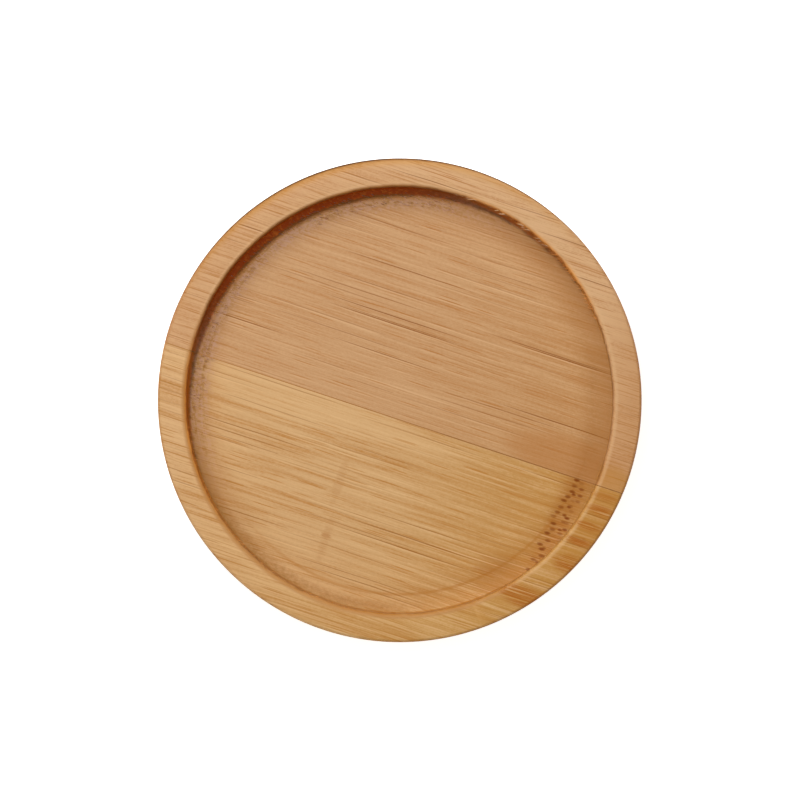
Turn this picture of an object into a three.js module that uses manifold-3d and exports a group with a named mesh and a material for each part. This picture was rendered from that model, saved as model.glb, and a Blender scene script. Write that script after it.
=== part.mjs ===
// A small round bamboo saucer, cut and turned from a two-ply board of glued bamboo strips.
// Millimetres, +Z up, +X along the bamboo fibres, origin at the centre of the underside.

import * as THREE from "three";
import { mergeVertices } from "three/addons/utils/BufferGeometryUtils.js";
import Module from "manifold-3d";

const wasm = await Module();
wasm.setup();

// Outside of the dish
const dishDiameter = 70;
const dishHeight = 10;
const rimRoundOver = 0.8;
const footRoundOver = 0.6;

// Recess
const rimWidth = 4.1;
const recessDepth = 4;
const recessCornerRadius = 0.5;
const mouthRoundOver = 0.6;

// Board that the dish is cut from: a face ply, a glue film and a backing ply
const facePlyThickness = 5.9;
const glueThickness = 0.15;
const stripWidth = 38;
const faceJointY = -2.7;
const leastStripWidth = 5;

// Fineness of the round surfaces
const turnSegments = 96;
const arcDivisions = 4;

// Sizes that follow
const dishRadius = dishDiameter / 2;
const mouthRadius = dishRadius - rimWidth;
const floorZ = dishHeight - recessDepth;
const cornerRadius = Math.min(recessCornerRadius, recessDepth - mouthRoundOver);
const facePlyBottomZ = dishHeight - facePlyThickness;
const backingPlyTopZ = facePlyBottomZ - glueThickness;
const backingJointY = faceJointY + stripWidth / 2;
const boardOverhang = 2;

// Finishes
const caramelBamboo = new THREE.MeshStandardMaterial({ color: 0xcd9f6b, roughness: 0.5, metalness: 0 });
const paleBamboo = new THREE.MeshStandardMaterial({ color: 0xd6aa6c, roughness: 0.5, metalness: 0 });
const backingBamboo = new THREE.MeshStandardMaterial({ color: 0xd0a468, roughness: 0.55, metalness: 0 });
const amberGlue = new THREE.MeshStandardMaterial({ color: 0x8a5a2b, roughness: 0.4, metalness: 0 });

// A closed three.js geometry as a solid that can be cut.
function solidOf(geometry) {
  geometry.deleteAttribute("normal");
  geometry.deleteAttribute("uv");
  const merged = mergeVertices(geometry);
  return new wasm.Manifold(
    new wasm.Mesh({
      numProp: 3,
      vertProperties: merged.attributes.position.array,
      triVerts: new Uint32Array(merged.index.array),
    }),
  );
}

// A solid as a named mesh.
function meshOf(name, solid, material) {
  const { vertProperties, triVerts } = solid.getMesh();
  const geometry = new THREE.BufferGeometry();
  geometry.setAttribute("position", new THREE.BufferAttribute(vertProperties, 3));
  geometry.setIndex(new THREE.BufferAttribute(triVerts, 1));
  geometry.computeVertexNormals();
  const mesh = new THREE.Mesh(geometry, material);
  mesh.name = name;
  return mesh;
}

// The turned dish as one whole: half of its section, from the axis out and back, spun about Z.
function turnedDish() {
  const quarter = Math.PI / 2;
  const half = new THREE.Path();
  half.moveTo(0, 0);
  half.lineTo(dishRadius - footRoundOver, 0);
  half.absarc(dishRadius - footRoundOver, footRoundOver, footRoundOver, -quarter, 0, false);
  half.lineTo(dishRadius, dishHeight - rimRoundOver);
  half.absarc(dishRadius - rimRoundOver, dishHeight - rimRoundOver, rimRoundOver, 0, quarter, false);
  half.lineTo(mouthRadius + mouthRoundOver, dishHeight);
  half.absarc(
    mouthRadius + mouthRoundOver,
    dishHeight - mouthRoundOver,
    mouthRoundOver,
    quarter,
    2 * quarter,
    false,
  );
  half.lineTo(mouthRadius, floorZ + cornerRadius);
  half.absarc(mouthRadius - cornerRadius, floorZ + cornerRadius, cornerRadius, 0, -quarter, true);
  half.lineTo(0, floorZ);
  const turned = new THREE.LatheGeometry(half.getPoints(arcDivisions), turnSegments);
  turned.rotateX(quarter);
  return solidOf(turned);
}

// A length of board between two values of y and two of z, past both ends of the dish on X.
function boardPiece(lowY, highY, lowZ, highZ) {
  const piece = new THREE.BoxGeometry(dishDiameter + 2 * boardOverhang, highY - lowY, highZ - lowZ);
  piece.translate(0, (lowY + highY) / 2, (lowZ + highZ) / 2);
  return solidOf(piece);
}

// The edge joints of a ply, from +Y to -Y: one strip width apart, and none too near the dish's edge.
function edgeJoints(oneJointY) {
  const reach = dishRadius - leastStripWidth;
  const first = Math.floor((reach - oneJointY) / stripWidth);
  const last = Math.ceil((-reach - oneJointY) / stripWidth);
  const joints = [];
  for (let step = first; step >= last; step -= 1) {
    joints.push(oneJointY + step * stripWidth);
  }
  return joints;
}

// The strips of one ply, with a glue film in each edge joint, cut to the dish's shape.
function plyMeshes(dish, ply) {
  const outside = dishRadius + boardOverhang;
  const meshes = [];
  let highY = outside;
  [...ply.joints, -outside].forEach((jointY, index) => {
    const atEdge = index === ply.joints.length;
    const lowY = atEdge ? jointY : jointY + glueThickness / 2;
    const strip = dish.intersect(boardPiece(lowY, highY, ply.lowZ, ply.highZ));
    const finish = ply.finishes[Math.min(index, ply.finishes.length - 1)];
    meshes.push(meshOf(`${ply.name}_strip_${index + 1}`, strip, finish));
    highY = lowY - glueThickness;
    if (!atEdge) {
      const film = dish.intersect(boardPiece(highY, lowY, ply.lowZ, ply.highZ));
      meshes.push(meshOf(`${ply.name}_edge_glue_${index + 1}`, film, amberGlue));
    }
  });
  return meshes;
}

// The glue film between the two plies.
function plyGlueMesh(dish) {
  const outside = dishRadius + boardOverhang;
  const film = dish.intersect(boardPiece(-outside, outside, backingPlyTopZ, facePlyBottomZ));
  return meshOf("ply_glue", film, amberGlue);
}

const facePly = {
  name: "face",
  lowZ: facePlyBottomZ,
  highZ: dishHeight + boardOverhang,
  joints: edgeJoints(faceJointY),
  finishes: [caramelBamboo, paleBamboo],
};
const backingPly = {
  name: "backing",
  lowZ: -boardOverhang,
  highZ: backingPlyTopZ,
  joints: edgeJoints(backingJointY),
  finishes: [backingBamboo],
};

const dish = turnedDish();
const saucer = new THREE.Group();
saucer.name = "bamboo_saucer";
saucer.add(...plyMeshes(dish, facePly));
saucer.add(plyGlueMesh(dish));
saucer.add(...plyMeshes(dish, backingPly));

export default saucer;
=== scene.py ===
"""A small round bamboo saucer, dressed: fine meshes, bamboo and glue finishes, studio and camera."""

from __future__ import annotations

import logging
import math
from dataclasses import dataclass
from enum import Enum
from functools import cache, cached_property, reduce
from itertools import pairwise
from random import Random

import bmesh
import bpy
from mathutils import Matrix, Vector, noise


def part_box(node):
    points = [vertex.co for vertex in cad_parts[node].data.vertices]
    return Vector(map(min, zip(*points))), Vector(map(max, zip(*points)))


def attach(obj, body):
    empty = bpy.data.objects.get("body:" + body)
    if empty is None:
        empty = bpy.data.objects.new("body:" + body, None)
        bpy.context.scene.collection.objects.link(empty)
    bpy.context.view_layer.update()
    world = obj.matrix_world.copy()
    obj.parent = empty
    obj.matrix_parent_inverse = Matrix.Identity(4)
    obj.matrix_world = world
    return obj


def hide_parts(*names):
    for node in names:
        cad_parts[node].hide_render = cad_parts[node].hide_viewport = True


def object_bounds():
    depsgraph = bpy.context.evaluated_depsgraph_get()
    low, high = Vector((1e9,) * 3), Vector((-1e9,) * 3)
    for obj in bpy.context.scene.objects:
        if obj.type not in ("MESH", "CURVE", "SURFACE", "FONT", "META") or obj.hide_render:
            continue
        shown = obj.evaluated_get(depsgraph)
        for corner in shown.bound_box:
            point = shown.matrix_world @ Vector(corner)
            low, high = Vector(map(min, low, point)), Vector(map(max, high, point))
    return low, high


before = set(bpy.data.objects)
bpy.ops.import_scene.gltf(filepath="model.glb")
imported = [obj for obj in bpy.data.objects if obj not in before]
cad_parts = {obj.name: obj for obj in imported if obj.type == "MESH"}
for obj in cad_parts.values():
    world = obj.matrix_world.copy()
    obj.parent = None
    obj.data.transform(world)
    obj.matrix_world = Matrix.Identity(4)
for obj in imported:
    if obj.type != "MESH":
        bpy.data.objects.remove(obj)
CAD_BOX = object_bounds()

LOG = logging.getLogger("bamboo_saucer")

MM = 0.001
BODY = "root"

# How the backing differs from the face, in millimetres: where each strip's pattern starts, and its relief
BACKING_SHIFT = 77.0
BACKING_RELIEF = 0.008

# How the photograph shows the dish
PHOTO_WIDTH = 800
PHOTO_CENTRE = (399.7, 400.3)
PHOTO_DISH_RADIUS = 242.0
FIBRE_TURN = math.radians(18.3)
# The side that the key light comes from; the face strips' painted shadow colours lie on this side of the
# recess
KEY_AZIMUTH = math.radians(136)
TOOL_MARK_AZIMUTH = math.radians(-60)
SANDED_AZIMUTH = math.radians(116)
TORN_AZIMUTH = math.radians(150)
# The side where the floor is left without the painted shade along the recess wall
RING_FREE_AZIMUTH = math.radians(-67)
BROWNED_AZIMUTH = math.radians(-110)

# Fineness of the meshes
TURN_STEPS = 480
EDGE_SEGMENTS = 6
TOP_SEGMENTS = 12
MOUTH_SEGMENTS = 10
FLAT_CUTS = 9
MERGE_DISTANCE = 0.001 * MM
TINY = 0.01 * MM
SHARP_ANGLE = math.radians(32)

Tone = tuple[float, float, float, float]


def tone(red: int, green: int, blue: int) -> Tone:
    """Turn a screen colour into the linear colour that a shader takes.

    Args:
        red: Red from 0 to 255.
        green: Green from 0 to 255.
        blue: Blue from 0 to 255.

    Returns:
        The linear colour, opaque.
    """
    def linear(level: int) -> float:
        """Undo the screen curve of one channel."""
        share = level / 255
        return share / 12.92 if share <= 0.04045 else ((share + 0.055) / 1.055) ** 2.4

    return (linear(red), linear(green), linear(blue), 1.0)


def lobe(azimuth: float, centre: float) -> float:
    """Go from 1 on one side of the dish to 0 a quarter turn away.

    Args:
        azimuth: The side that is asked about.
        centre: The side that gives 1.

    Returns:
        The share.
    """
    return max(0.0, math.cos(azimuth - centre)) ** 2


class Slot(Enum):
    """The record's material slots."""

    CARAMEL = "caramel_bamboo"
    PALE = "pale_bamboo"
    BACKING = "backing_bamboo"
    GLUE = "glue"


@dataclass(frozen=True)
class Signal:
    """One output of a shader node, for use in Python expressions.

    Attributes:
        tree: The finish that the node belongs to.
        socket: The node's output.
    """

    tree: FinishTree
    socket: bpy.types.NodeSocket

    def maths(self, operation: str, *values: Value) -> Signal:
        """Add a Math node.

        Args:
            operation: What the node works out.
            values: Its inputs in order.

        Returns:
            The result.
        """
        return self.tree.node("ShaderNodeMath", {"operation": operation}, dict(enumerate(values)))

    def __add__(self, other: Value) -> Signal:
        """Add."""
        return self.maths("ADD", self, other)

    def __radd__(self, other: Value) -> Signal:
        """Add to a number."""
        return self.maths("ADD", other, self)

    def __sub__(self, other: Value) -> Signal:
        """Subtract."""
        return self.maths("SUBTRACT", self, other)

    def __rsub__(self, other: Value) -> Signal:
        """Subtract from a number."""
        return self.maths("SUBTRACT", other, self)

    def __mul__(self, other: Value) -> Signal:
        """Multiply."""
        return self.maths("MULTIPLY", self, other)

    def __rmul__(self, other: Value) -> Signal:
        """Multiply a number."""
        return self.maths("MULTIPLY", other, self)

    def __truediv__(self, other: Value) -> Signal:
        """Divide."""
        return self.maths("DIVIDE", self, other)

    def __pow__(self, other: Value) -> Signal:
        """Raise to a power."""
        return self.maths("POWER", self, other)

    def __abs__(self) -> Signal:
        """Drop the sign."""
        return self.maths("ABSOLUTE", self)

    def most(self, other: Value) -> Signal:
        """Take the larger of two values."""
        return self.maths("MAXIMUM", self, other)

    def rise(self, low: float, high: float) -> Signal:
        """Go smoothly from 0 at one value to 1 at another, which may be the lower one.

        Args:
            low: The value that gives 0.
            high: The value that gives 1.

        Returns:
            The smooth step.
        """
        inputs = {"Value": self, "From Min": low, "From Max": high}
        return self.tree.node("ShaderNodeMapRange", {"interpolation_type": "SMOOTHSTEP"}, inputs)

    def ramp(self, low: float, high: float) -> Signal:
        """Go in a straight line from 0 at one value to 1 at another."""
        return self.tree.node("ShaderNodeMapRange", {}, {"Value": self, "From Min": low, "From Max": high})

    def also(self, output: str) -> Signal:
        """Take another output of the same node."""
        return Signal(self.tree, self.socket.node.outputs[output])

    def parts(self) -> tuple[Signal, Signal, Signal]:
        """Split a vector into its three numbers."""
        split = self.tree.node("ShaderNodeSeparateXYZ", {}, {0: self})
        return split, split.also("Y"), split.also("Z")


Value = Signal | float
Layer = tuple[Signal, Tone]
Reach = tuple[float, float]


@dataclass(frozen=True)
class Place:
    """A point of the surface in millimetres, in the dish's frame."""

    x: Signal
    y: Signal
    z: Signal

    def radius(self) -> Signal:
        """Measure the distance from the dish's axis."""
        return (self.x ** 2 + self.y ** 2) ** 0.5

    def towards(self, azimuth: float) -> Signal:
        """Go from 1 on one side of the dish to -1 on the other.

        Args:
            azimuth: The side that gives 1.

        Returns:
            The cosine of the angle from that side.
        """
        return (self.x * math.cos(azimuth) + self.y * math.sin(azimuth)) / self.radius()


class FinishTree:
    """The shader nodes of one finish."""

    MIX_FIRST = 6
    MIX_SECOND = 7
    MIX_COLOUR = 2

    def __init__(self, name: str) -> None:
        """Start an empty material.

        Args:
            name: The material's name.
        """
        self.material = bpy.data.materials.new(name)
        self.material.use_nodes = True
        self.nodes = self.material.node_tree.nodes
        self.links = self.material.node_tree.links
        self.nodes.clear()

    def node(
        self,
        kind: str,
        settings: dict[str, object],
        inputs: dict[int | str, object],
        output: int | str = 0,
    ) -> Signal:
        """Add a node of any type.

        Args:
            kind: The node's type.
            settings: Its settings, which are set first.
            inputs: The values or links of its sockets.
            output: The output that is wanted.

        Returns:
            That output.
        """
        made = self.nodes.new(kind)
        for name, value in settings.items():
            setattr(made, name, value)
        for key, value in inputs.items():
            if isinstance(value, Signal):
                self.links.new(value.socket, made.inputs[key])
            else:
                made.inputs[key].default_value = value
        return Signal(self, made.outputs[output])

    def place(self) -> Place:
        """Read where a point of the piece lies, in millimetres."""
        metres = self.node("ShaderNodeTexCoord", {}, {}, "Object")
        scale = {"operation": "SCALE"}
        return Place(*self.node("ShaderNodeVectorMath", scale, {0: metres, "Scale": 1 / MM}).parts())

    def vector(self, x: Value, y: Value, z: Value) -> Signal:
        """Join three numbers into a vector."""
        return self.node("ShaderNodeCombineXYZ", {}, {0: x, 1: y, 2: z})

    def cloud(self, vector: Signal, detail: float = 2.0, roughness: float = 0.5) -> Signal:
        """Make smooth noise from 0 to 1.

        Args:
            vector: Where to read it, one unit a blob.
            detail: How many finer layers it has.
            roughness: How strong the finer layers are.

        Returns:
            The noise.
        """
        inputs = {"Vector": vector, "Scale": 1.0, "Detail": detail, "Roughness": roughness}
        return self.node("ShaderNodeTexNoise", {"noise_dimensions": "3D"}, inputs)

    def blend(self, share: Value, first: Signal | Tone, second: Signal | Tone) -> Signal:
        """Mix two colours.

        Args:
            share: How much of the second colour is taken.
            first: The first colour.
            second: The second colour.

        Returns:
            The mixed colour.
        """
        inputs = {0: share, self.MIX_FIRST: first, self.MIX_SECOND: second}
        return self.node("ShaderNodeMix", {"data_type": "RGBA"}, inputs, self.MIX_COLOUR)

    def layered(self, colour: Signal, layers: list[Layer]) -> Signal:
        """Put layers over a colour.

        Args:
            colour: The colour at the bottom.
            layers: Their shares and colours, lowest first.

        Returns:
            The colour that shows.
        """
        for share, above in layers:
            colour = self.blend(share, colour, above)
        return colour

    def surface(self, colour: Signal, roughness: Signal, height: Signal, relief: float, ior: float) -> None:
        """Close the finish with a shader and its relief.

        Args:
            colour: The base colour.
            roughness: The roughness.
            height: The relief from 0 to 1.
            relief: How tall a height of 1 is, in millimetres.
            ior: The index of refraction of the surface film.
        """
        bump = {"Strength": 1.0, "Distance": relief * MM, "Height": height}
        shader = {
            "Base Color": colour,
            "Roughness": roughness,
            "IOR": ior,
            "Normal": self.node("ShaderNodeBump", {}, bump),
        }
        self.close(shader)

    def close(self, shader: dict[str, object]) -> None:
        """End the finish in one shader.

        Args:
            shader: The values or links of the shader's sockets.
        """
        made = self.node("ShaderNodeBsdfPrincipled", {}, shader)
        output = self.nodes.new("ShaderNodeOutputMaterial")
        self.links.new(made.socket, output.inputs["Surface"])


@dataclass(frozen=True)
class FibreCloud:
    """Smooth noise that is drawn out along the fibres.

    Attributes:
        length: The length of a blob along X, in millimetres.
        width: Its width.
        detail: How many finer layers it has.
        roughness: How strong the finer layers are.
    """

    length: float
    width: float
    detail: float
    roughness: float

    def read(self, tree: FinishTree, place: Place, shift: float) -> Signal:
        """Read the noise at a point.

        Args:
            tree: The finish.
            place: The point of the surface.
            shift: Where the pattern starts along X.

        Returns:
            The noise, about 0.
        """
        vector = tree.vector((place.x + shift) / self.length, place.y / self.width, place.z / self.width)
        return tree.cloud(vector, self.detail, self.roughness) - 0.5


@dataclass(frozen=True)
class Streaks:
    """The dark streaks at a point and the light lines beside them, each from 0 to 1."""

    dark: Signal
    light: Signal


@dataclass(frozen=True)
class StreakLayer:
    """One family of fibre streaks, which run along X inside the bamboo.

    Attributes:
        length: How long a streak is at most, in millimetres.
        across: The distance between streaks along Y.
        deep: The distance between streaks along Z.
        thickness: Half the thickness of a streak.
    """

    length: float
    across: float
    deep: float
    thickness: float

    END_TAPER = 2.1
    DEPTH_TAPER = 1.8
    EDGE = (1.0, 0.25)
    LIGHT_OFFSET = 2.0
    DARK_RARITY = 1.4
    LIGHT_RARITY = 1.6

    def read(self, tree: FinishTree, place: Place, shift: float) -> Streaks:
        """Find the dark streaks and the light lines that lie beside them.

        Args:
            tree: The finish.
            place: The point of the surface.
            shift: Where the pattern starts along X.

        Returns:
            The streaks.
        """
        cell = tree.vector((place.x + shift) / self.length, place.y / self.across, place.z / self.deep)
        settings = {"voronoi_dimensions": "3D", "feature": "F1"}
        nearest = tree.node("ShaderNodeTexVoronoi", settings, {"Vector": cell, "Scale": 1.0}, "Position")
        offset = tree.node("ShaderNodeVectorMath", {"operation": "SUBTRACT"}, {0: cell, 1: nearest})
        strength, light_strength, _ = nearest.also("Color").parts()
        along, sideways, down = offset.parts()
        body = (along * self.END_TAPER) ** 2 + (down * self.DEPTH_TAPER) ** 2
        beside = sideways * (self.across / self.thickness)
        dark = (body + beside ** 2).rise(*self.EDGE)
        light = (body + (beside + self.LIGHT_OFFSET) ** 2).rise(*self.EDGE)
        return Streaks(dark * strength ** self.DARK_RARITY, light * light_strength ** self.LIGHT_RARITY)


@dataclass(frozen=True)
class BambooTones:
    """The colours of one strip of bamboo.

    Attributes:
        near: The ground of the floor at the -X end.
        far: The ground of the floor at the +X end.
        rim_near: The ground near the top, in the denser outer part of the culm, at the -X end.
        rim_far: The same at the +X end.
        streak: The dark streaks.
        fine_streak: The fine streaks.
        light: The light lines.
        end_grain: What cut fibre ends tend to.
        worn_edge: What the sanded outer edge tends to.
    """

    near: Tone
    far: Tone
    rim_near: Tone
    rim_far: Tone
    streak: Tone
    fine_streak: Tone
    light: Tone
    end_grain: Tone
    worn_edge: Tone


CARAMEL_TONES = BambooTones(
    near=tone(199, 154, 109),
    far=tone(194, 146, 95),
    rim_near=tone(206, 160, 115),
    rim_far=tone(212, 170, 126),
    streak=tone(140, 80, 28),
    fine_streak=tone(178, 114, 50),
    light=tone(220, 178, 132),
    end_grain=tone(150, 94, 46),
    worn_edge=tone(186, 128, 44),
)
PALE_TONES = BambooTones(
    near=tone(208, 166, 115),
    far=tone(192, 142, 74),
    rim_near=tone(214, 171, 122),
    rim_far=tone(196, 146, 74),
    streak=tone(146, 88, 28),
    fine_streak=tone(182, 120, 46),
    light=tone(224, 184, 132),
    end_grain=tone(152, 98, 46),
    worn_edge=tone(184, 128, 46),
)


@dataclass(frozen=True)
class Grain:
    """The noise and the streaks of the bamboo at a point.

    Attributes:
        hair: The noise of the fine fibres, about 0.
        speckle: The noise of the pores.
        band: The noise of bands about a millimetre wide.
        broad: The noise of broad bands.
        long: The long streaks.
        short: The short streaks.
        rim: The streaks of the dense top layer.
    """

    hair: Signal
    speckle: Signal
    band: Signal
    broad: Signal
    long: Streaks
    short: Streaks
    rim: Streaks


@dataclass(frozen=True, kw_only=True)
class BambooFinish:
    """Satin oiled bamboo: a solid pattern of fibres along X, which shows as dots on end grain.

    Attributes:
        slot: The record's slot.
        tones: The colours.
        shift: Where the pattern starts, which sets strips apart.
        band_contrast: How strong the bands of a millimetre or so are.
        rim_drift: The values of x between which the rim's colour changes.
        relief: How deep the grain is, in millimetres.
    """

    slot: Slot
    tones: BambooTones
    shift: float
    band_contrast: float = 0.6
    rim_drift: Reach = (-30.0, 30.0)
    relief: float = 0.03

    HAIR = FibreCloud(14.0, 0.2, 3.0, 0.65)
    SPECKLE = FibreCloud(0.45, 0.25, 2.0, 0.7)
    BAND = FibreCloud(18.0, 0.75, 2.0, 0.5)
    BROAD = FibreCloud(45.0, 3.4, 2.0, 0.5)
    SLOW_BEND = FibreCloud(45.0, 14.0, 1.0, 0.5)
    QUICK_BEND = FibreCloud(8.0, 3.3, 1.0, 0.5)
    LONG_STREAKS = StreakLayer(26.0, 0.95, 0.62, 0.1)
    SHORT_STREAKS = StreakLayer(5.5, 0.6, 0.42, 0.1)
    RIM_STREAKS = StreakLayer(13.0, 0.5, 0.4, 0.11)
    FLOOR_DRIFT = (-10.0, 34.0)
    DENSE_TOP = (6.3, 9.8)
    DENSE_END = (20.0, 36.0)
    OUTSIDE = (32.0, 33.5)
    END_FACING = (0.0, 0.8)
    SLOW_WANDER = 0.7
    QUICK_WANDER = 0.15
    DEEP_WANDER = 0.5
    ROUGHNESS = 0.5
    OIL_IOR = 1.22

    # How much each part of the grain warms the colour
    HAIR_WARMTH = 0.9
    SPECKLE_WARMTH = 0.45
    BROAD_WARMTH = 0.35
    FULL_WARMTH = 0.5

    # How much each part of the grain roughens, raises or sinks the surface
    STREAK_ROUGHNESS = 0.1
    HAIR_ROUGHNESS = 0.15
    GROUND_HEIGHT = 0.6
    HAIR_HEIGHT = 0.3
    SPECKLE_HEIGHT = 0.2
    LONG_DEPTH = 0.35
    SHORT_DEPTH = 0.2

    @cached_property
    def material(self) -> bpy.types.Material:
        """Make the finish.

        Returns:
            The material.
        """
        tree = FinishTree(self.slot.value)
        place = tree.place()
        grain = self.grain(tree, place)
        colour = self.ground(tree, place, grain)
        colour = tree.layered(colour, self.marks(tree, place, grain))
        roughness = self.STREAK_ROUGHNESS * grain.long.dark + self.HAIR_ROUGHNESS * grain.hair
        raised = self.HAIR_HEIGHT * grain.hair + self.SPECKLE_HEIGHT * grain.speckle
        sunk = self.LONG_DEPTH * grain.long.dark + self.SHORT_DEPTH * grain.short.dark
        height = self.GROUND_HEIGHT + raised - sunk
        tree.surface(colour, self.ROUGHNESS + roughness, height, self.relief, self.OIL_IOR)
        return tree.material

    def grain(self, tree: FinishTree, place: Place) -> Grain:
        """Read the grain, on fibres that wander a little across the strip as they do in a culm.

        Args:
            tree: The finish.
            place: The point of the surface.

        Returns:
            The grain.
        """
        slow = self.SLOW_BEND.read(tree, place, self.shift)
        quick = self.QUICK_BEND.read(tree, place, self.shift)
        fibre_y = place.y + self.SLOW_WANDER * slow + self.QUICK_WANDER * quick
        fibre = Place(place.x, fibre_y, place.z + self.DEEP_WANDER * slow)
        clouds = (self.HAIR, self.SPECKLE, self.BAND, self.BROAD)
        streaks = (self.LONG_STREAKS, self.SHORT_STREAKS, self.RIM_STREAKS)
        return Grain(*(layer.read(tree, fibre, self.shift) for layer in (*clouds, *streaks)))

    def ground(self, tree: FinishTree, place: Place, grain: Grain) -> Signal:
        """Colour the bamboo with its grain, its denser parts and its cut ends.

        Args:
            tree: The finish.
            place: The point of the surface.
            grain: The grain there.

        Returns:
            The colour.
        """
        tones = self.tones
        recess = tree.blend(place.x.rise(*self.FLOOR_DRIFT), tones.near, tones.far)
        rim = tree.blend(place.x.ramp(*self.rim_drift), tones.rim_near, tones.rim_far)
        upper = place.z.rise(*self.DENSE_TOP)
        bands = self.band_contrast * grain.band + self.BROAD_WARMTH * grain.broad
        warmth = self.HAIR_WARMTH * grain.hair + self.SPECKLE_WARMTH * grain.speckle + bands
        facing, _, _ = tree.node("ShaderNodeNewGeometry", {}, {}, "Normal").parts()
        cut_ends = abs(facing).rise(*self.END_FACING) * place.radius().rise(*self.OUTSIDE)
        layers = [
            (warmth.ramp(0.0, self.FULL_WARMTH), tones.fine_streak),
            (warmth.ramp(0.0, -self.FULL_WARMTH), tones.light),
            (0.75 * grain.short.dark, tones.fine_streak),
            (0.45 * grain.short.light, tones.light),
            (0.85 * grain.long.dark, tones.streak),
            (0.75 * grain.long.light, tones.light),
            (0.75 * grain.rim.dark * upper, tones.fine_streak),
            (0.4 * grain.rim.light * upper, tones.light),
            (0.45 * place.x.rise(*self.DENSE_END) * upper, tones.fine_streak),
            (0.5 * cut_ends, tones.end_grain),
        ]
        return tree.layered(tree.blend(upper, recess, rim), layers)

    def marks(self, tree: FinishTree, place: Place, grain: Grain) -> list[Layer]:
        """List the marks that some strips have on top of their grain, here none.

        Args:
            tree: The finish.
            place: The point of the surface.
            grain: The grain there.

        Returns:
            The marks, lowest first.
        """
        return []


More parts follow.
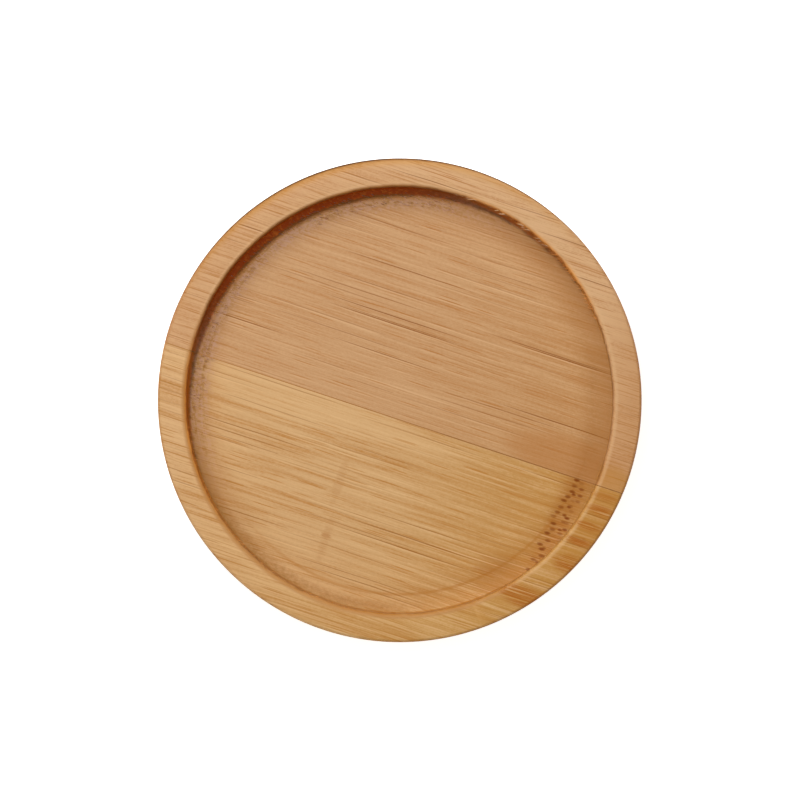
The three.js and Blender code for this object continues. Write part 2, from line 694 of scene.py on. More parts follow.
@dataclass(frozen=True, kw_only=True)
class FaceBamboo(BambooFinish):
    """Bamboo of the face ply, with what the cutter and the sanding left on it, and painted shade, shadow
    colour, sheen and highlight along the recess.

    Attributes:
        dish: The turned dish.
        spots: Parts of the strip that are lighter or darker, with their colours.
        scorch_and_shadow_tint: The colour of the floor at the wall's foot where the key light's shadow
            falls: a burn mark that also paints the shadow's saturated brown.
        browned_and_shadow_tint: The brown of the wall and of the floor at its foot on the key light's side,
            a painted shadow colour there, and of the wall and the mouth on the far side.
        shadow_orange_tint: The colour of orange flecks in the painted shadow colour at the wall's foot, and
            a painted shadow colour at the wall's foot beside it.
        flank_painted_light: A lighter, warm colour of the wall to each side of the key light's shadow:
            painted light that lifts the wall's shade there.
        fuzz: The colour of torn fibres on the floor, a pale lilac grey that also paints a cool sheen there.
        ring_shade: The colour that the floor tends to along the wall, a painted shade there; also of dark
            specks among torn fibres, and of the floor at the far wall's foot.
    """

    dish: TurnedDish
    spots: tuple[tuple[Spot, Tone], ...] = ()
    scorch_and_shadow_tint: Tone = tone(204, 88, 0)
    browned_and_shadow_tint: Tone = tone(172, 106, 30)
    shadow_orange_tint: Tone = tone(240, 136, 36)
    flank_painted_light: Tone = tone(236, 154, 60)
    fuzz: Tone = tone(190, 150, 126)
    ring_shade: Tone = tone(150, 100, 42)

    GRIT = FibreCloud(0.7, 0.45, 3.0, 0.7)
    LINES_PER_MM = 3.2
    LINE_RUN = 0.15
    LOOSE_GROUND = 0.2
    LOOSE_GRIT = 3.0
    LOOSE_LINES = 1.2

    # How far the edges of marks wander with the grit, in millimetres, and those of spots with the hair
    TORN_WANDER = 3.0
    BROWN_WANDER = 1.5
    SHADOW_SCORCH_WANDER = 0.8
    FOOT_WANDER = 0.7
    FLANK_WANDER = 0.6
    SPOT_WANDER = 2.0

    # Where marks start and where they are full, in millimetres inwards from the recess wall
    RING = (5.9, -1.1)
    TORN = (3.9, 2.1)
    TOOL_MARK = (3.1, 2.8)
    TOOL_MARK_END = (2.4, 2.7)
    BROWN = (1.9, 1.2)
    SHADOW_SCORCH = (1.2, 0.8)
    FOOT = (2.2, 0.7)
    FLANK = (0.2, 0.05)
    FLANK_FOOT = (0.6, 0.25)
    WALL = (0.3, 0.05)
    MOUTH = (-0.05, -0.3)
    MOUTH_END = (-0.9, -0.5)
    ABOVE_WALL = (-0.5, -0.2)

    # The same from the outside inwards, and above the floor
    WORN_EDGE = (1.6, 0.4)
    OFF_FLOOR = (1.0, 0.3)
    ON_RIM = (2.0, 3.0)

    # How squarely a point has to lie on the side of a mark, as a cosine
    RING_SIDE = (0.97, 0.3)
    TORN_SIDE = (0.1, 0.8)
    SHADOW_SCORCH_SIDE = (0.6, 0.95)
    FLANK_SIDE = (-0.3, 0.2)
    FLANK_END = (0.85, 0.55)
    FLANK_FOOT_SIDE = (0.2, 0.5)
    WALL_SIDE = (0.65, 0.9)
    FOOT_SIDE = (0.6, 0.98)
    FAR_SIDE = (0.1, 0.6)
    WORN_SIDE = (0.4, 0.95)
    TOOL_SIDE = (0.3, 0.9)

    def marks(self, tree: FinishTree, place: Place, grain: Grain) -> list[Layer]:
        """List what the cutter's last pass along the wall and the sanding left, with the painted shade,
        shadow colour, sheen and highlight along the recess.

        Args:
            tree: The finish.
            place: The point of the surface.
            grain: The grain there.

        Returns:
            The marks, lowest first.
        """
        radius = place.radius()
        inwards = self.dish.mouth_radius / MM - radius
        from_outside = self.dish.radius / MM - radius
        above_floor = place.z - self.dish.floor_z / MM
        below_rim = inwards.rise(*self.ABOVE_WALL)
        floor = above_floor.rise(*self.OFF_FLOOR) * below_rim
        rim = above_floor.rise(*self.ON_RIM)
        grit = self.GRIT.read(tree, place, self.shift)
        run = self.LINE_RUN
        lines = tree.cloud(tree.vector(radius * self.LINES_PER_MM, place.x * run, place.y * run)) - 0.5
        far = place.towards(BROWNED_AZIMUTH)
        far_wall = far.rise(*self.FAR_SIDE)
        # Towards the key light: on this side the wall and the floor at its foot lie in the key light's cast
        # shadow, and the marks keyed to it are painted shadow colour
        shaded = place.towards(KEY_AZIMUTH)
        key_shadow_side = shaded.rise(*self.SHADOW_SCORCH_SIDE)
        flank_end = shaded.rise(*self.FLANK_END)
        wall_face = inwards.rise(*self.WALL) * below_rim

        # Painted shade: the floor darkens towards the recess wall, except on one side
        ring = inwards.rise(*self.RING) * floor * place.towards(RING_FREE_AZIMUTH).rise(*self.RING_SIDE)
        # Torn fibres beside the wall; their pale lilac grey also paints a cool sheen
        torn = (inwards - self.TORN_WANDER * grit).rise(*self.TORN) * floor
        torn = torn * place.towards(TORN_AZIMUTH).rise(*self.TORN_SIDE)
        loose = self.LOOSE_GROUND + self.LOOSE_GRIT * grit + self.LOOSE_LINES * lines
        foot = (inwards - self.FOOT_WANDER * grit).rise(*self.FOOT) * floor
        foot = foot * far.rise(*self.FOOT_SIDE) * (0.5 + grit)
        # Painted shadow colour: a brown band along the inner edge of the key light's shadow on the floor
        brown = (inwards - self.BROWN_WANDER * grit).rise(*self.BROWN) * floor * key_shadow_side
        # Painted light: the wall to each side of the key light's shadow, made lighter
        flank_painted_light = inwards.rise(*self.FLANK) * below_rim * shaded.rise(*self.FLANK_SIDE) * flank_end
        flank_foot = (inwards - self.FLANK_WANDER * grit).rise(*self.FLANK_FOOT) * floor * flank_end
        flank_foot = flank_foot * shaded.rise(*self.FLANK_FOOT_SIDE)
        # A burn mark at the wall's foot, laid only inside the key light's shadow, that also paints that
        # shadow a saturated brown
        shadow_scorch = (inwards - self.SHADOW_SCORCH_WANDER * grit).rise(*self.SHADOW_SCORCH) * floor * key_shadow_side
        worn = from_outside.rise(*self.WORN_EDGE) * rim
        worn = worn * place.towards(SANDED_AZIMUTH).rise(*self.WORN_SIDE)
        # The mouth edge, lighter all round: edge wear and a painted highlight line
        mouth = inwards.rise(*self.MOUTH) * inwards.rise(*self.MOUTH_END) * rim
        tool_mark = inwards.rise(*self.TOOL_MARK) * inwards.rise(*self.TOOL_MARK_END) * floor
        tool_mark = tool_mark * place.towards(TOOL_MARK_AZIMUTH).rise(*self.TOOL_SIDE)
        return [
            *((spot.mask(place, self.SPOT_WANDER * grain.hair), shade) for spot, shade in self.spots),
            # Painted shade along the recess wall
            (0.65 * ring, self.ring_shade),
            # Torn fibres: a pale lilac grey that also paints a cool sheen, and dark specks below
            (torn * loose.ramp(0.0, 1.0), self.fuzz),
            (torn * loose.ramp(0.2, -0.5), self.ring_shade),
            (foot, self.ring_shade),
            # Painted shadow colour on the floor at the edge of the key light's shadow; below it a browner
            # wall on the far side
            (0.85 * brown, self.browned_and_shadow_tint),
            (0.55 * wall_face * far_wall, self.browned_and_shadow_tint),
            # Painted light: a lighter, warm wall beside the key light's shadow
            (0.75 * flank_painted_light, self.flank_painted_light),
            # Painted shadow colour: orange-brown on the floor at the wall's foot beside the key light's
            # shadow
            (0.7 * flank_foot, self.shadow_orange_tint),
            # Painted shadow colour: the wall in the key light's shadow turned brown
            (0.8 * wall_face * shaded.rise(*self.WALL_SIDE), self.browned_and_shadow_tint),
            # A burn mark that also paints the key light's shadow a saturated brown, with orange flecks
            (0.97 * shadow_scorch, self.scorch_and_shadow_tint),
            (shadow_scorch * grit.ramp(0.0, 0.22), self.shadow_orange_tint),
            (0.45 * worn, self.tones.worn_edge),
            # A lighter line along the mouth edge: edge wear and a painted highlight
            (0.4 * mouth, self.tones.light),
            (0.5 * mouth * far_wall, self.browned_and_shadow_tint),
            (0.45 * tool_mark, self.tones.fine_streak),
        ]


@dataclass(frozen=True)
class BundleRow:
    """One row of the vascular bundles of a node, which show as dots.

    Attributes:
        x: Where the row crosses y = 0.
        lean: How much x grows with y.
        gap: The distance between dots along Y.
        half_length: Half the length of a dot along the fibres.
        half_width: Half its width.
        first_y: Where the row ends towards -Y.
        strength: How dark its palest dot is.
        seed: What sets its dots apart from another row's.
    """

    x: float
    lean: float
    gap: float
    half_length: float
    half_width: float
    first_y: float
    strength: float
    seed: float

    STRAY_ALONG = 1.1
    STRAY_ACROSS = 0.4
    FADE = 0.8
    EDGE = (1.8, 0.0)

    def off(self, place: Place) -> Signal:
        """Measure how far a point lies from the row, along X."""
        return place.x - self.x - self.lean * place.y

    def dots(self, tree: FinishTree, place: Place) -> Signal:
        """Draw the dots.

        Args:
            tree: The finish.
            place: The point of the surface.

        Returns:
            The dots, from 0 to 1.
        """
        step = place.y / self.gap
        number = step.maths("FLOOR", step)
        settings = {"noise_dimensions": "1D"}
        chance = tree.node("ShaderNodeTexWhiteNoise", settings, {"W": number + self.seed}, "Color")
        stray_x, stray_y, chance_strength = chance.parts()
        along = (self.off(place) + self.STRAY_ALONG * (stray_x - 0.5)) / self.half_length
        middle = step - number - 0.5
        across = (middle + self.STRAY_ACROSS * (stray_y - 0.5)) * (self.gap / self.half_width)
        dots = (along ** 2 + across ** 2).rise(*self.EDGE)
        ends = place.y.rise(self.first_y - self.FADE, self.first_y)
        return dots * ends * (self.strength + (1 - self.strength) * chance_strength)


@dataclass(frozen=True)
class Spot:
    """A soft spot with a rough edge.

    Attributes:
        x: The x of its middle, in millimetres.
        y: The y of its middle.
        half_x: Half its length.
        half_y: Half its width.
        share: How strong it is.
    """

    x: float
    y: float
    half_x: float
    half_y: float
    share: float = 1.0

    EDGE = (1.2, 0.3)

    def mask(self, place: Place, rough: Signal) -> Signal:
        """Draw the spot.

        Args:
            place: The point of the surface.
            rough: What roughens its edge, about 0.

        Returns:
            The spot, from 0 to its share.
        """
        off_x = (place.x - self.x) / self.half_x
        off_y = (place.y - self.y) / self.half_y
        return (off_x ** 2 + off_y ** 2 + rough).rise(*self.EDGE) * self.share


@dataclass(frozen=True, kw_only=True)
class PaleBamboo(FaceBamboo):
    """The yellowish strip, which a bamboo node crosses near one end.

    Attributes:
        node_dot: The colour of the bundle dots.
        node_haze: The colour around them, and of smudges.
        node_patch: The colour of the node on the rim.
    """

    node_dot: Tone = tone(130, 66, 10)
    node_haze: Tone = tone(166, 102, 36)
    node_patch: Tone = tone(172, 98, 20)

    ROWS = (
        BundleRow(28.05, 0.131, 0.86, 0.44, 0.22, -17.6, 0.5, 3.0),
        BundleRow(29.5, 0.12, 0.9, 0.4, 0.2, -12.0, 0.3, 58.0),
        BundleRow(28.8, 0.13, 1.1, 0.32, 0.18, -17.6, 0.1, 131.0),
    )
    PATCH_WANDER = 4.0
    PATCH_GROUND = 0.7
    PATCH_HAIR = 6.0
    SMUDGE_WANDER = 5.0
    HAZE_GROUND = 0.42
    HAZE_HAIR = 2.0
    HAZE_OFF = 0.6
    HAZE = (2.6, 0.4)
    HAZE_END = (-20.0, -14.0)
    PATCHES = (
        Spot(32.5, -4.0, 2.6, 0.6, 0.6),
        Spot(32.6, -6.1, 2.4, 0.9),
        Spot(31.6, -8.7, 2.4, 0.7),
        Spot(31.0, -11.2, 2.4, 0.85),
        Spot(30.6, -14.9, 2.6, 1.6),
        Spot(25.9, -21.3, 4.4, 1.9),
    )
    SMUDGES = (
        Spot(-4.6, -14.0, 0.7, 3.5, 0.16),
        Spot(-3.9, -22.5, 0.7, 3.5, 0.16),
        Spot(-4.0, -22.0, 0.8, 0.45, 0.4),
        Spot(22.5, -20.0, 4.5, 3.5, 0.36),
    )

    def marks(self, tree: FinishTree, place: Place, grain: Grain) -> list[Layer]:
        """Add the node, with its dots in the recess and brown patches on the rim, and some smudges.

        Args:
            tree: The finish.
            place: The point of the surface.
            grain: The grain there.

        Returns:
            The marks, lowest first.
        """
        above_floor = place.z - self.dish.floor_z / MM
        floor = above_floor.rise(*self.OFF_FLOOR)
        rim = above_floor.rise(*self.ON_RIM)
        beside = abs(self.ROWS[0].off(place) - self.HAZE_OFF)
        haze = beside.rise(*self.HAZE) * place.y.rise(*self.HAZE_END) * floor
        haze = haze * (self.HAZE_GROUND + self.HAZE_HAIR * grain.hair).ramp(0.0, 1.0)
        smudges = [spot.mask(place, self.SMUDGE_WANDER * grain.hair) * floor for spot in self.SMUDGES]
        rough = self.PATCH_WANDER * grain.hair
        patches = reduce(Signal.most, (spot.mask(place, rough) for spot in self.PATCHES)) * rim
        patches = patches * (self.PATCH_GROUND + self.PATCH_HAIR * grain.hair).ramp(0.0, 1.0)
        return [
            *super().marks(tree, place, grain),
            (haze, self.node_haze),
            *((smudge, self.node_haze) for smudge in smudges),
            *((row.dots(tree, place) * floor, self.node_dot) for row in self.ROWS),
            (patches, self.node_patch),
        ]


@dataclass(frozen=True)
class GlueFinish:
    """Cured amber glue in a bond line.

    Attributes:
        slot: The record's slot.
        thin: The colour where the film is thin.
        thick: The colour where it is thick.
    """

    slot: Slot
    thin: Tone
    thick: Tone

    PATCH = FibreCloud(1 / 0.35, 1 / 0.6, 3.0, 0.6)
    BEAD = FibreCloud(1 / 3, 1 / 3, 2.0, 0.5)
    PATCH_SHARE = 0.55
    THICKENING = 0.012
    THICKNESS = (0.0, 0.6)
    ROUGHNESS = 0.55
    BEAD_ROUGHNESS = 0.2
    RELIEF = 0.02
    GLUE_IOR = 1.3

    @cached_property
    def material(self) -> bpy.types.Material:
        """Make the finish.

        Returns:
            The material.
        """
        tree = FinishTree(self.slot.value)
        place = tree.place()
        patch = 0.5 + self.PATCH.read(tree, place, 0.0)
        bead = self.BEAD.read(tree, place, 0.0)
        thickness = (self.PATCH_SHARE * patch + self.THICKENING * place.x).rise(*self.THICKNESS)
        colour = tree.blend(thickness, self.thin, self.thick)
        roughness = self.ROUGHNESS + self.BEAD_ROUGHNESS * bead
        tree.surface(colour, roughness, 0.5 + bead, self.RELIEF, self.GLUE_IOR)
        return tree.material


@dataclass(frozen=True)
class FloorFinish:
    """A white table lit through from below, so that shadows stay pale.

    Attributes:
        paper: Its colour.
        shade: The colour that it is mottled with.
        glow: How strongly it is lit through.
    """

    paper: Tone = tone(244, 244, 244)
    shade: Tone = tone(238, 238, 238)
    glow: float = 0.9

    MOTTLE = FibreCloud(50.0, 50.0, 2.0, 0.5)
    ROUGHNESS = 0.8

    @cached_property
    def material(self) -> bpy.types.Material:
        """Make the finish.

        Returns:
            The material.
        """
        tree = FinishTree("white_table")
        mottle = 0.5 + self.MOTTLE.read(tree, tree.place(), 0.0)
        shader = {
            "Base Color": tree.blend(mottle, self.paper, self.shade),
            "Roughness": self.ROUGHNESS,
            "Emission Color": self.paper,
            "Emission Strength": self.glow,
        }
        tree.close(shader)
        return tree.material


@dataclass(frozen=True)
class Slab:
    """A length of board between two values of y and two of z, in metres."""

    low_y: float
    high_y: float
    low_z: float
    high_z: float

    @staticmethod
    def of_node(node: str) -> Slab:
        """Take the slab that a CAD node was cut from."""
        low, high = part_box(node)
        return Slab(low.y, high.y, low.z, high.z)


@dataclass(frozen=True)
class TurnedDish:
    """The dish as it comes off the lathe, before it is divided into strips.

    Attributes:
        radius: The outer radius.
        height: The height.
        rim_round_over: The radius of the outer top edge.
        foot_round_over: The radius of the bottom edge.
        rim_width: The width of the rim, from the outside to the recess wall.
        recess_depth: The depth of the recess.
        recess_corner: The radius of the corner between the floor and the wall.
        widest_corner: The same where the cutter left it widest.
        mouth_round_over: The radius of the recess's top edge.
        sanded_round_over: The radius of the outer top edge where it was sanded most.
        raggedness: How far the wall strays from a true circle.
        last_pass_width: The width of the ring that the cutter's last pass left along the wall.
        last_pass_drop: How far that ring lies below the floor.
        last_pass_step: The width of the step between the two.
    """

    radius: float
    height: float
    rim_round_over: float = 0.45 * MM
    foot_round_over: float = 0.6 * MM
    rim_width: float = 4.1 * MM
    recess_depth: float = 4.0 * MM
    recess_corner: float = 0.2 * MM
    widest_corner: float = 1.0 * MM
    mouth_round_over: float = 0.6 * MM
    sanded_round_over: float = 1.3 * MM
    raggedness: float = 0.25 * MM
    last_pass_width: float = 2.8 * MM
    last_pass_drop: float = 0.05 * MM
    last_pass_step: float = 0.15 * MM

    STRAY_WAVES = (9, 45)

    @property
    def mouth_radius(self) -> float:
        """The radius of the recess wall."""
        return self.radius - self.rim_width

    @property
    def floor_z(self) -> float:
        """The level of the recess floor."""
        return self.height - self.recess_depth

    @property
    def ring_z(self) -> float:
        """The level of the ring along the recess wall."""
        return self.floor_z - self.last_pass_drop

    def half_section(self, inset: float) -> bmesh.types.BMesh:
        """Draw half of the section as a chain of edges, from the axis out and back.

        Args:
            inset: How far the section lies inside the bamboo's surface.

        Returns:
            The chain.
        """
        floor = self.floor_z - inset
        ring_floor = self.ring_z - inset
        step_radius = self.mouth_radius - self.last_pass_width
        corners = (
            (0.0, inset),
            (self.radius - inset, inset),
            (self.radius - inset, self.height - inset),
            (self.mouth_radius + inset, self.height - inset),
            (self.mouth_radius + inset, ring_floor),
            (step_radius + self.last_pass_step, ring_floor),
            (step_radius, floor),
            (0.0, floor),
        )
        section = bmesh.new()
        points = [section.verts.new((r, 0.0, z)) for r, z in corners]
        for start, end in pairwise(points):
            section.edges.new((start, end))
        rounds = (
            (points[1], self.foot_round_over, EDGE_SEGMENTS),
            (points[2], self.rim_round_over, TOP_SEGMENTS),
            (points[3], self.mouth_round_over, MOUTH_SEGMENTS),
            (points[4], self.recess_corner, EDGE_SEGMENTS),
        )
        for corner, radius, segments in rounds:
            bmesh.ops.bevel(
                section,
                geom=[corner],
                offset=radius,
                offset_type="OFFSET",
                affect="VERTICES",
                segments=segments,
                profile=0.5,
                material=-1,
            )
        flats = [points[0].link_edges[0], points[-1].link_edges[0]]
        bmesh.ops.subdivide_edges(section, edges=flats, cuts=FLAT_CUTS)
        return section

    @cache
    def turned(self, inset: float) -> bmesh.types.BMesh:
        """Spin the half section into the whole dish, and give its edges their wear.

        Args:
            inset: How far the surface lies inside the bamboo's.

        Returns:
            The closed dish.
        """
        dish = self.half_section(inset)
        bmesh.ops.spin(
            dish,
            geom=[*dish.verts, *dish.edges],
            cent=(0.0, 0.0, 0.0),
            axis=(0.0, 0.0, 1.0),
            angle=math.tau,
            steps=TURN_STEPS,
            use_merge=True,
        )
        bmesh.ops.remove_doubles(dish, verts=dish.verts, dist=MERGE_DISTANCE)
        bmesh.ops.recalc_face_normals(dish, faces=dish.faces)
        for vertex in dish.verts:
            self.wear(vertex, inset)
        return dish

    def wear(self, vertex: bmesh.types.BMVert, inset: float) -> None:
        """Move one point of the turned dish as sanding and the cutter did.

        Args:
            vertex: The point.
            inset: How far the surface lies inside the bamboo's.
        """
        radius = vertex.co.xy.length
        if radius < TINY:
            return
        azimuth = math.atan2(vertex.co.y, vertex.co.x)
        below_top = self.height - inset - vertex.co.z
        from_edge = self.radius - inset - radius
        from_wall = self.mouth_radius + inset - radius
        above_ring = vertex.co.z + inset - self.ring_z
        new_radius = radius
        if max(below_top, from_edge) < self.rim_round_over:
            stretch = lobe(azimuth, SANDED_AZIMUTH) * (self.sanded_round_over / self.rim_round_over - 1)
            vertex.co.z -= below_top * stretch
            new_radius -= from_edge * stretch
        elif from_wall > -TINY and max(from_wall, above_ring) < self.recess_corner + TINY:
            stretch = lobe(azimuth, BROWNED_AZIMUTH) * (self.widest_corner / self.recess_corner - 1)
            vertex.co.z += above_ring * stretch
            new_radius -= from_wall * stretch
        elif -self.mouth_round_over < from_wall < TINY and above_ring > self.recess_corner:
            around = Vector((math.cos(azimuth), math.sin(azimuth), 0.0))
            strays = [noise.noise(waves * around) for waves in self.STRAY_WAVES]
            new_radius += self.raggedness * sum(strays) / len(strays)
        vertex.co.xy *= new_radius / radius

    def cut(self, slab: Slab, inset: float) -> bmesh.types.BMesh:
        """Keep the part of the dish that lies in one slab of the board.

        Args:
            slab: The slab.
            inset: How far the surface lies inside the bamboo's.

        Returns:
            The closed piece.
        """
        piece = self.turned(inset).copy()
        across = Vector((0.0, 1.0, 0.0))
        up = Vector((0.0, 0.0, 1.0))
        planes = (
            (up * slab.low_z, -up),
            (up * slab.high_z, up),
            (across * slab.low_y, -across),
            (across * slab.high_y, across),
        )
        for point, outward in planes:
            beyond = max((vertex.co - point).dot(outward) for vertex in piece.verts)
            if beyond < MERGE_DISTANCE:
                continue
            result = bmesh.ops.bisect_plane(
                piece,
                geom=[*piece.verts, *piece.edges, *piece.faces],
                dist=MERGE_DISTANCE,
                plane_co=point,
                plane_no=outward,
                clear_outer=True,
            )
            rim = [item for item in result["geom_cut"] if isinstance(item, bmesh.types.BMEdge)]
            bmesh.ops.edgeloop_fill(piece, edges=rim)
        bmesh.ops.recalc_face_normals(piece, faces=piece.faces)
        return piece


def add_piece(
    name: str,
    shape: bmesh.types.BMesh,
    material: bpy.types.Material,
    slot: Slot,
    *nodes: str,
) -> bpy.types.Object:
    """Put a finished mesh into the scene.

    Args:
        name: The piece's name.
        shape: Its mesh, in the dish's frame.
        material: Its finish.
        slot: The record's slot of that finish; not used.
        nodes: The CAD nodes that it stands for.

    Returns:
        The piece.
    """
    mesh = bpy.data.meshes.new(name)
    shape.to_mesh(mesh)
    shape.free()
    mesh.shade_smooth()
    mesh.set_sharp_from_angle(angle=SHARP_ANGLE)
    mesh.materials.append(material)
    piece = bpy.data.objects.new(name, mesh)
    bpy.context.scene.collection.objects.link(piece)
    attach(piece, BODY)
    if nodes:
        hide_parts(*nodes)
    return piece


@dataclass(frozen=True)
class Ply:
    """One ply of the board: its strips, and the glue between them.

    Attributes:
        dish: The turned dish that the ply is part of.
        strips: The CAD nodes of its strips, each with its finish.
        films: The CAD nodes of its glue films.
        glue: The finish of the glue.
        film_inset: How far the glue lies below the bamboo's surface.
    """

    dish: TurnedDish
    strips: dict[str, BambooFinish]
    films: tuple[str, ...]
    glue: GlueFinish
    film_inset: float = 0.015 * MM

    def build(self) -> list[bpy.types.Object]:
        """Make the ply's pieces.

        Returns:
            The pieces.
        """
        pieces = [self.cut(node, "turned", finish, 0.0) for node, finish in self.strips.items()]
        pieces.extend(self.cut(node, "film", self.glue, self.film_inset) for node in self.films)
        return pieces

    def cut(
        self,
        node: str,
        ending: str,
        finish: BambooFinish | GlueFinish,
        inset: float,
    ) -> bpy.types.Object:
        """Cut one piece out of the dish.

        Args:
            node: Its CAD node.
            ending: What its name adds to the node's.
            finish: Its finish.
            inset: How far it lies below the bamboo's surface.

        Returns:
            The piece.
        """
        shape = self.dish.cut(Slab.of_node(node), inset)
        return add_piece(f"{node}_{ending}", shape, finish.material, finish.slot, node)


@dataclass(frozen=True)
class TornFinish:
    """The dry, pale bamboo of torn fibres.

    Attributes:
        slot: The record's slot of the strip that they belong to.
        name: The finish's name.
        root: Their colour at the darkest.
        tip: Their colour at the lightest.
    """

    slot: Slot
    name: str
    root: Tone
    tip: Tone

    GRAIN = FibreCloud(0.9, 0.3, 2.0, 0.6)
    LIGHT_SHARE = (-0.2, 0.2)
    ROUGHNESS = 0.75
    GRAIN_ROUGHNESS = 0.2
    RELIEF = 0.01
    DRY_IOR = 1.3

    @cached_property
    def material(self) -> bpy.types.Material:
        """Make the finish.

        Returns:
            The material.
        """
        tree = FinishTree(self.name)
        grain = self.GRAIN.read(tree, tree.place(), 0.0)
        colour = tree.blend(grain.rise(*self.LIGHT_SHARE), self.root, self.tip)
        roughness = self.ROUGHNESS + self.GRAIN_ROUGHNESS * grain
        tree.surface(colour, roughness, grain, self.RELIEF, self.DRY_IOR)
        return tree.material


@dataclass(frozen=True)
class Span:
    """A range that a size of a torn fibre is drawn from."""

    low: float
    high: float

    def draw(self, chance: Random) -> float:
        """Draw one value."""
        return chance.uniform(self.low, self.high)


@dataclass(frozen=True)
class TornFibres:
    """Short fibres that the cutter tore loose in one stretch of the recess.

    Attributes:
        name: The name of the piece.
        dish: The turned dish.
        finish: Their finish.
        count: How many there are.
        azimuth: Where they stand around the dish.
        height: How high their roots lie above the floor.
        length: How long they are.
        sideways: How far they lean along Y, for each step along X.
        seed: The seed of their places.
        from_wall: How far their roots stand from the recess wall, inwards.
        half_width: Their radius at the root.
        lift: How far they rise, for each step along X.
    """

    name: str
    dish: TurnedDish
    finish: TornFinish
    count: int
    azimuth: Span
    height: Span
    length: Span
    sideways: Span
    seed: int
    from_wall: Span = Span(-0.1 * MM, 0.0)
    half_width: Span = Span(0.03 * MM, 0.07 * MM)
    lift: Span = Span(-0.35, 0.35)

    SIDES = 4
    TIP_SHARE = 0.15
    OUT_SHARE = 0.35

    def build(self) -> list[bpy.types.Object]:
        """Make the fibres as one piece.

        Returns:
            The piece, in a list.
        """
        chance = Random(self.seed)
        shape = bmesh.new()
        for _ in range(self.count):
            azimuth = self.azimuth.draw(chance)
            radius = self.dish.mouth_radius - self.from_wall.draw(chance)
            root_z = self.dish.floor_z + self.height.draw(chance)
            root = Vector((radius * math.cos(azimuth), radius * math.sin(azimuth), root_z))
            inwards = -math.copysign(1.0, root.x)
            along = Vector((inwards, self.sideways.draw(chance), self.lift.draw(chance))).normalized()
            length = self.length.draw(chance)
            half_width = self.half_width.draw(chance)
            turn = along.to_track_quat("Z", "Y").to_matrix().to_4x4()
            bmesh.ops.create_cone(
                shape,
                cap_ends=True,
                segments=self.SIDES,
                radius1=half_width,
                radius2=half_width * self.TIP_SHARE,
                depth=length,
                matrix=Matrix.Translation(root + along * length * self.OUT_SHARE) @ turn,
            )
        return [add_piece(self.name, shape, self.finish.material, self.finish.slot)]


@dataclass(frozen=True)
class Lamp:
    """A round lamp that faces the dish, on the side that the key light comes from.

    Attributes:
        name: Its name.
        elevation: Its height above the horizon, in degrees.
        distance: Its distance from the dish.
        width: Its diameter.
        power: Its power in watts.
        colour: The colour of its light.
    """

    name: str
    elevation: float
    distance: float
    width: float
    power: float
    colour: Tone

    def build(self) -> None:
        """Hang the lamp."""
        light = bpy.data.lights.new(self.name, "AREA")
        light.shape = "DISK"
        light.size = self.width
        light.energy = self.power
        light.color = self.colour[:3]
        elevation = math.radians(self.elevation)
        level = math.cos(elevation) * self.distance
        height = math.sin(elevation) * self.distance
        lamp = bpy.data.objects.new(self.name, light)
        lamp.location = (level * math.cos(KEY_AZIMUTH), level * math.sin(KEY_AZIMUTH), height)
        lamp.rotation_euler = lamp.location.to_track_quat("Z", "Y").to_euler()
        bpy.context.scene.collection.objects.link(lamp)


@dataclass(frozen=True)
class Studio:
    """A white table, a small key light, a broad light beside it and another overhead.

    Attributes:
        table_half: Half the width of the table.
        room_tone: The colour of the light from the room.
        room_strength: Its strength.
    """

    table_half: float = 2.5
    room_tone: Tone = tone(255, 240, 224)
    room_strength: float = 0.16

    TABLE_CELLS = 8
    LAMPS = (
        Lamp("key_light", 64.7, 0.55, 0.076, 1.6, tone(255, 252, 246)),
        Lamp("window_light", 42.0, 0.9, 0.5, 2.4, tone(248, 250, 255)),
        Lamp("overhead_light", 90.0, 1.0, 0.6, 1.5, tone(244, 248, 255)),
    )

    def build(self) -> None:
        """Make the table, the lights and the room."""
        shape = bmesh.new()
        cells = self.TABLE_CELLS
        bmesh.ops.create_grid(shape, x_segments=cells, y_segments=cells, size=self.table_half)
        mesh = bpy.data.meshes.new("white_table")
        shape.to_mesh(mesh)
        shape.free()
        mesh.materials.append(FloorFinish().material)
        table = bpy.data.objects.new("white_table", mesh)
        bpy.context.scene.collection.objects.link(table)
        for lamp in self.LAMPS:
            lamp.build()
        world = bpy.data.worlds.new("room")
        world.use_nodes = True
        background = world.node_tree.nodes["Background"]
        background.inputs["Color"].default_value = self.room_tone
        background.inputs["Strength"].default_value = self.room_strength
        bpy.context.scene.world = world


@dataclass(frozen=True)
class PhotoCamera:
    """The camera straight above the dish, turned as the photograph is.

    Attributes:
        dish: The turned dish.
        distance: The height of the camera above the widest part of the dish.
        sensor: The width of its sensor in millimetres.
    """

    dish: TurnedDish
    distance: float = 1.2
    sensor: float = 36.0

    def build(self) -> None:
        """Make the camera and look through it."""
        pixel = self.dish.radius / PHOTO_DISH_RADIUS
        data = bpy.data.cameras.new("photo_camera")
        data.sensor_width = self.sensor
        data.lens = self.sensor * self.distance / (pixel * PHOTO_WIDTH)
        right = Vector((math.cos(FIBRE_TURN), math.sin(FIBRE_TURN), 0.0))
        up = Vector((-math.sin(FIBRE_TURN), math.cos(FIBRE_TURN), 0.0))
        middle = PHOTO_WIDTH / 2
        place = right * (middle - PHOTO_CENTRE[0]) * pixel + up * (PHOTO_CENTRE[1] - middle) * pixel
        place.z = self.dish.height - self.dish.rim_round_over + self.distance
        camera = bpy.data.objects.new("photo_camera", data)
        camera.location = place
        camera.rotation_euler = (0.0, 0.0, FIBRE_TURN)
        bpy.context.scene.collection.objects.link(camera)
        bpy.context.scene.camera = camera


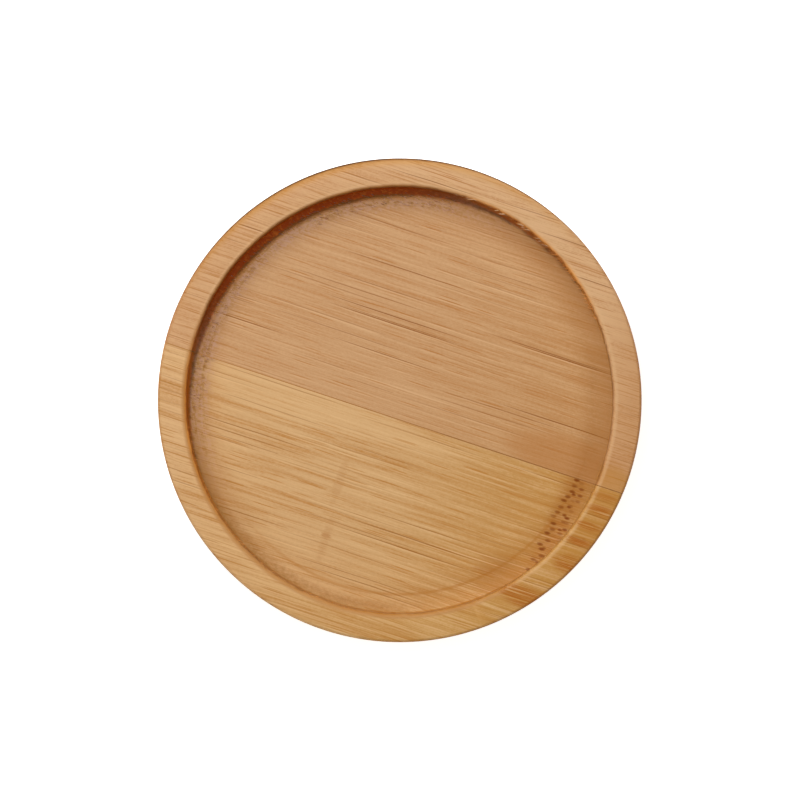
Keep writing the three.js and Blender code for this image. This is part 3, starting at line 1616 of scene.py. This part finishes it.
def face_ply(dish: TurnedDish, glue: GlueFinish) -> Ply:
    """Describe the face ply: the caramel strip, the pale strip and the glue between them.

    Args:
        dish: The turned dish.
        glue: The finish of the glue.

    Returns:
        The ply.
    """
    caramel = FaceBamboo(
        slot=Slot.CARAMEL,
        tones=CARAMEL_TONES,
        shift=3.0,
        band_contrast=0.5,
        rim_drift=(-25.0, 5.0),
        dish=dish,
        spots=(
            (Spot(25.0, -0.5, 9.0, 3.5, 0.45), CARAMEL_TONES.fine_streak),
            (Spot(33.0, -1.2, 3.0, 2.2, 0.45), CARAMEL_TONES.worn_edge),
        ),
    )
    pale = PaleBamboo(
        slot=Slot.PALE,
        tones=PALE_TONES,
        shift=41.0,
        band_contrast=1.0,
        dish=dish,
        spots=((Spot(-12.0, -4.6, 24.0, 3.2, 0.3), PALE_TONES.light),),
    )
    return Ply(dish, {"face_strip_1": caramel, "face_strip_2": pale}, ("face_edge_glue_1",), glue)


def backing_ply(dish: TurnedDish, glue: GlueFinish) -> Ply:
    """Describe the backing ply, with the glue film that holds it to the face ply.

    Args:
        dish: The turned dish.
        glue: The finish of the glue.

    Returns:
        The ply.
    """
    strips = {
        f"backing_strip_{number}": BambooFinish(
            slot=Slot.BACKING,
            tones=PALE_TONES,
            shift=BACKING_SHIFT * number,
            relief=BACKING_RELIEF,
        )
        for number in (1, 2, 3)
    }
    films = ("backing_edge_glue_1", "backing_edge_glue_2", "ply_glue")
    return Ply(dish, strips, films, glue)


def torn_fibres(dish: TurnedDish) -> list[TornFibres]:
    """List the stretches of the recess where the cutter tore the bamboo.

    Args:
        dish: The turned dish.

    Returns:
        The groups of torn fibres.
    """
    splinter = TornFinish(Slot.CARAMEL, "torn_splinter", tone(206, 160, 112), tone(236, 200, 156))
    fuzz = TornFinish(Slot.CARAMEL, "torn_fuzz", tone(160, 108, 70), tone(204, 166, 144))
    combed = TornFinish(Slot.CARAMEL, "combed_fuzz", tone(200, 124, 50), tone(228, 164, 94))
    return [
        TornFibres(
            name="mouth_splinters",
            dish=dish,
            finish=splinter,
            count=26,
            azimuth=Span(math.radians(64), math.radians(97)),
            height=Span(2.6 * MM, 3.7 * MM),
            length=Span(0.5 * MM, 1.5 * MM),
            half_width=Span(0.05 * MM, 0.11 * MM),
            sideways=Span(-0.45, -0.05),
            lift=Span(-0.3, 0.3),
            seed=11,
        ),
        TornFibres(
            name="wall_fuzz",
            dish=dish,
            finish=combed,
            count=150,
            azimuth=Span(math.radians(40), math.radians(80)),
            height=Span(1.2 * MM, 3.6 * MM),
            length=Span(0.4 * MM, 1.1 * MM),
            sideways=Span(-0.35, 0.1),
            seed=12,
        ),
        TornFibres(
            name="foot_fuzz",
            dish=dish,
            finish=combed,
            count=70,
            azimuth=Span(math.radians(205), math.radians(285)),
            height=Span(0.8 * MM, 3.5 * MM),
            length=Span(0.3 * MM, 0.8 * MM),
            sideways=Span(-0.05, 0.3),
            seed=13,
        ),
        TornFibres(
            name="floor_fuzz",
            dish=dish,
            finish=fuzz,
            count=420,
            azimuth=Span(math.radians(92), math.radians(200)),
            from_wall=Span(0.6 * MM, 2.9 * MM),
            height=Span(-0.07 * MM, -0.03 * MM),
            length=Span(0.3 * MM, 0.8 * MM),
            half_width=Span(0.03 * MM, 0.06 * MM),
            sideways=Span(-0.25, 0.25),
            lift=Span(0.05, 0.5),
            seed=14,
        ),
    ]


def main() -> None:
    """Build the dressed dish, the studio and the camera."""
    logging.basicConfig(level=logging.INFO, format="%(message)s")
    bpy.context.scene.view_settings.view_transform = "Standard"

    low, high = CAD_BOX
    dish = TurnedDish(radius=(high[0] - low[0]) / 2, height=high[2] - low[2])
    PhotoCamera(dish).build()
    Studio().build()

    glue = GlueFinish(slot=Slot.GLUE, thin=tone(180, 126, 70), thick=tone(150, 98, 44))

    for assembly in (face_ply(dish, glue), backing_ply(dish, glue), *torn_fibres(dish)):
        for piece in assembly.build():
            LOG.info("%s: %d faces", piece.name, len(piece.data.polygons))


if __name__ == "__main__":
    main()
